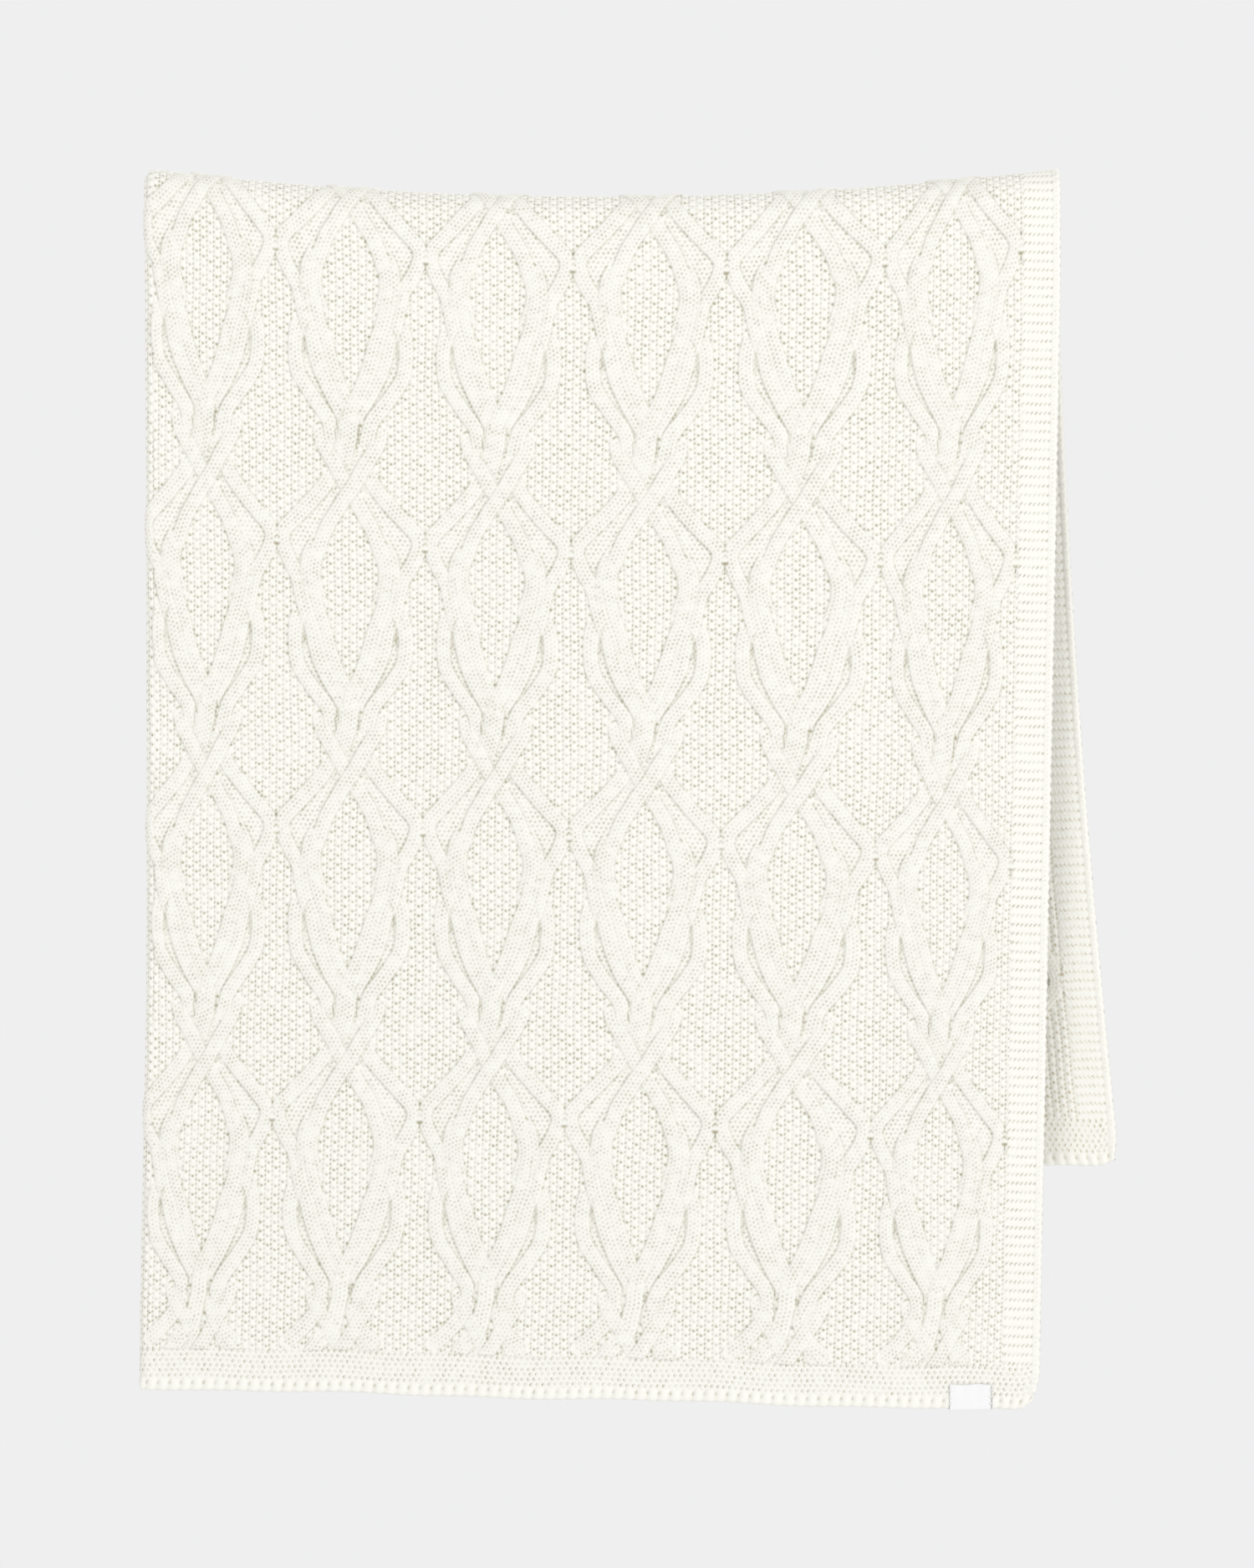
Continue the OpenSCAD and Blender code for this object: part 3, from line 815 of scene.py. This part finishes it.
def tube(rings):
    """Rings of points as one list, the skin over them, and the caps of its two ends."""
    rings = np.array(rings)
    n, m = rings.shape[:2]
    ids = np.arange(n * m).reshape(n, m)
    a, b = ids[:-1], ids[1:]
    skin = np.stack([a, np.roll(a, -1, 1), np.roll(b, -1, 1), b], -1).reshape(-1, 4)
    first = np.stack([np.full(m - 2, ids[0, 0]), ids[0, 2:], ids[0, 1:-1]], 1)
    last = np.stack([np.full(m - 2, ids[-1, 0]), ids[-1, 1:-1], ids[-1, 2:]], 1)
    return rings.reshape(-1, 3), skin, np.concatenate([first, last])


def label_profile():
    """The label's section as (out, up): down the front, round the edge, up the back."""
    bottom, bend = -0.9, 1.2
    path = [(LABEL_OUT, u) for u in np.linspace(LABEL_H, bottom + bend, 25)]
    wide, middle = (LABEL_OUT + LABEL_BACK) / 2, (LABEL_OUT - LABEL_BACK) / 2
    path += [(middle + wide * math.cos(t), bottom + bend - bend * math.sin(t))
             for t in np.linspace(0, math.pi, 13)[1:-1]]
    path += [(-LABEL_BACK, u) for u in np.linspace(bottom + bend, LABEL_H - 1.5, 23)]
    p = np.array(path)
    d = np.gradient(p, axis=0)
    d /= np.hypot(d[:, 0], d[:, 1])[:, None]
    normal = np.stack([-d[:, 1], d[:, 0]], 1)
    return p + normal * LABEL_T / 2, p - normal * LABEL_T / 2


outer_face, inner_face = label_profile()
section = np.concatenate([outer_face, inner_face[::-1]])
rings = []
for x in np.linspace(LABEL_X - LABEL_W / 2, LABEL_X + LABEL_W / 2, 37):
    share = (x - LABEL_X) / (LABEL_W / 2)
    pucker = 0.12 * math.cos(share * 9.0) + 0.1 * share * share
    bend = section.copy()
    bend[:, 0] += pucker * np.sign(bend[:, 0]) * np.clip(bend[:, 1] / LABEL_H, 0, 1)
    bend[:, 1] += 0.15 * math.sin(share * 5.0) * (bend[:, 1] > LABEL_H - 1)
    rings.append(label_frame(np.full(len(section), x), bend[:, 0], bend[:, 1]))
points, skin, _ = tube(rings)
# the end of a folded strip is a ribbon between its two faces
count = len(section)
quad = [skin]
for base, turned in ((0, False), ((len(rings) - 1) * count, True)):
    i = np.arange(count // 2 - 1)
    end = np.stack([base + i, base + i + 1, base + count - 2 - i, base + count - 1 - i], 1)
    quad.append(end[:, ::-1] if turned else end)
label = write_mesh("woven_tape", points, np.concatenate(quad), np.empty((0, 3), int))


def thread(centre_x, up):
    """One stitch across the label's end: a short arched thread."""
    rings = []
    for t in np.linspace(-1, 1, 11):
        x = centre_x + 1.2 * t
        out = LABEL_OUT + THREAD_R + 0.22 * (1 - t * t) - 0.5 * abs(t) ** 4
        mid = label_frame(np.array([x]), np.array([out]), np.array([up + 0.15 * t]))[0]
        r = THREAD_R * math.sqrt(max(1 - t ** 4, 0.05))
        turn = np.linspace(0, 2 * math.pi, 10, endpoint=False)
        rings.append(np.stack([mid[0] + 0 * turn, mid[1] + r * np.cos(turn),
                               mid[2] + r * np.sin(turn)], -1))
    return rings


offset, points, quad, tri = 0, [], [], []
for end in (-1, 1):
    for up in STITCH_UP:
        p, skin, caps = tube(thread(LABEL_X + end * (LABEL_W / 2 - 0.1), up))
        points.append(p)
        quad.append(skin + offset)
        tri.append(caps + offset)
        offset += len(p)
stitches = write_mesh("label_thread", np.concatenate(points), np.concatenate(quad),
                      np.concatenate(tri))


def tape_material(name, colour, pitch, roughness):
    """Woven tape or twisted thread: fine bands of that pitch, in metres."""
    m = bpy.data.materials.new(name)
    m.use_nodes = True
    t = m.node_tree
    shader = t.nodes["Principled BSDF"]
    link = t.links.new
    where = node(t, "ShaderNodeTexCoord")
    weave = node(t, "ShaderNodeTexWave", bands_direction="Z")
    weave.inputs["Scale"].default_value = 1 / pitch
    weave.inputs["Distortion"].default_value = 0.6
    link(where.outputs["Object"], weave.inputs["Vector"])
    cross = node(t, "ShaderNodeTexNoise")
    cross.inputs["Scale"].default_value = 1600
    link(where.outputs["Object"], cross.inputs["Vector"])
    tone = node(t, "ShaderNodeMix", data_type="RGBA")
    tone.inputs["A"].default_value = (*(0.93 * c for c in colour), 1)
    tone.inputs["B"].default_value = (*colour, 1)
    link(weave.outputs["Fac"], tone.inputs["Factor"])
    link(tone.outputs["Result"], shader.inputs["Base Color"])
    rough = node(t, "ShaderNodeMapRange")
    rough.inputs["To Min"].default_value = roughness - 0.08
    rough.inputs["To Max"].default_value = roughness + 0.08
    link(cross.outputs["Fac"], rough.inputs["Value"])
    link(rough.outputs["Result"], shader.inputs["Roughness"])
    bump = node(t, "ShaderNodeBump")
    bump.inputs["Strength"].default_value = 0.4
    bump.inputs["Distance"].default_value = 0.0001
    link(weave.outputs["Fac"], bump.inputs["Height"])
    link(bump.outputs["Normal"], shader.inputs["Normal"])
    shader.inputs["Sheen Weight"].default_value = 0.1
    return m


label.data.materials.append(tape_material("woven_tape", (0.955, 0.955, 0.965), 0.0016, 0.55))
stitches.data.materials.append(tape_material("sewing_thread", (0.92, 0.92, 0.92), 0.0009, 0.6))
for piece in (label, stitches):
    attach(piece, "front_drop")

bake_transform(front_sheet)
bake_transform(back_sheet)
nodes = sorted(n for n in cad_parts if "label" not in n)
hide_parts(*[n for n in nodes if "front" in n or "cast_on" in n or "crest" in n])
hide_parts(*[n for n in nodes if "back" in n or "cast_off" in n])
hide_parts("woven_label")
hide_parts("label_stitches")

# ---- Stage, light and camera ----

FLOOR_Z, FLOOR_HALF = -1.6, 6.0
floor_mesh = bpy.data.meshes.new("floor")
corners = ((-1, -1), (1, -1), (1, 1), (-1, 1))
floor_mesh.from_pydata([(x * FLOOR_HALF, y * FLOOR_HALF, FLOOR_Z) for x, y in corners], [],
                       [(0, 1, 2, 3)])
floor = bpy.data.objects.new("floor", floor_mesh)
bpy.context.scene.collection.objects.link(floor)
floor_material = bpy.data.materials.new("floor")
floor_material.use_nodes = True
floor_shader = floor_material.node_tree.nodes["Principled BSDF"]
floor_shader.inputs["Base Color"].default_value = (0.85, 0.85, 0.855, 1)
floor_shader.inputs["Emission Color"].default_value = (1.0, 1.0, 1.0, 1)
floor_shader.inputs["Emission Strength"].default_value = 0.12
floor_shader.inputs["Roughness"].default_value = 0.9
floor_mesh.materials.append(floor_material)

scene = bpy.context.scene
scene.view_settings.view_transform = "Standard"
world = bpy.data.worlds.new("studio")
scene.world = world
world.use_nodes = True
BACKDROP = (0.863, 0.863, 0.871)  # the background as the camera sees it
SKYLIGHT, SKYLIGHT_STRENGTH = (1.0, 0.995, 0.985), 0.69  # and as it lights the throw
tree = world.node_tree
tree.nodes.clear()
seen = node(tree, "ShaderNodeBackground")
seen.inputs["Color"].default_value = (*BACKDROP, 1)
lit = node(tree, "ShaderNodeBackground")
lit.inputs["Color"].default_value = (*SKYLIGHT, 1)
lit.inputs["Strength"].default_value = SKYLIGHT_STRENGTH
rays = node(tree, "ShaderNodeLightPath")
mix = node(tree, "ShaderNodeMixShader")
sky = node(tree, "ShaderNodeOutputWorld")
tree.links.new(rays.outputs["Is Camera Ray"], mix.inputs[0])
tree.links.new(lit.outputs[0], mix.inputs[1])
tree.links.new(seen.outputs[0], mix.inputs[2])
tree.links.new(mix.outputs[0], sky.inputs["Surface"])


def area_light(name, at, size, power):
    """A soft square light that faces the middle of the throw."""
    data = bpy.data.lights.new(name, "AREA")
    data.size = size
    data.energy = power
    ob = bpy.data.objects.new(name, data)
    bpy.context.scene.collection.objects.link(ob)
    ob.location = at
    aim = Vector((0, 0, -0.25)) - Vector(at)
    ob.rotation_euler = aim.to_track_quat("-Z", "Y").to_euler()


area_light("key", (-0.9, -2.3, 1.1), 0.9, 17)
area_light("fill", (2.1, -1.7, 0.1), 1.2, 16)
area_light("rear", (0.6, 2.2, 1.1), 1.2, 20)

VIEW_X, VIEW_Z, VIEW_BACK = 0.0107, -0.2425, 3.0  # the view's middle, and how far back it is
VIEW_TALL = 0.691  # height of the view at the front flap
FRONT_FACE = -0.0155  # where the front flap's face is
SENSOR = 36
camera_data = bpy.data.cameras.new("camera")
camera_data.sensor_fit = "AUTO"
camera_data.sensor_width = SENSOR
camera_data.lens = SENSOR * VIEW_BACK / VIEW_TALL
camera = bpy.data.objects.new("camera", camera_data)
bpy.context.scene.collection.objects.link(camera)
camera.location = (VIEW_X, FRONT_FACE - VIEW_BACK, VIEW_Z)
camera.rotation_euler = (math.pi / 2, 0, 0)
scene.camera = camera
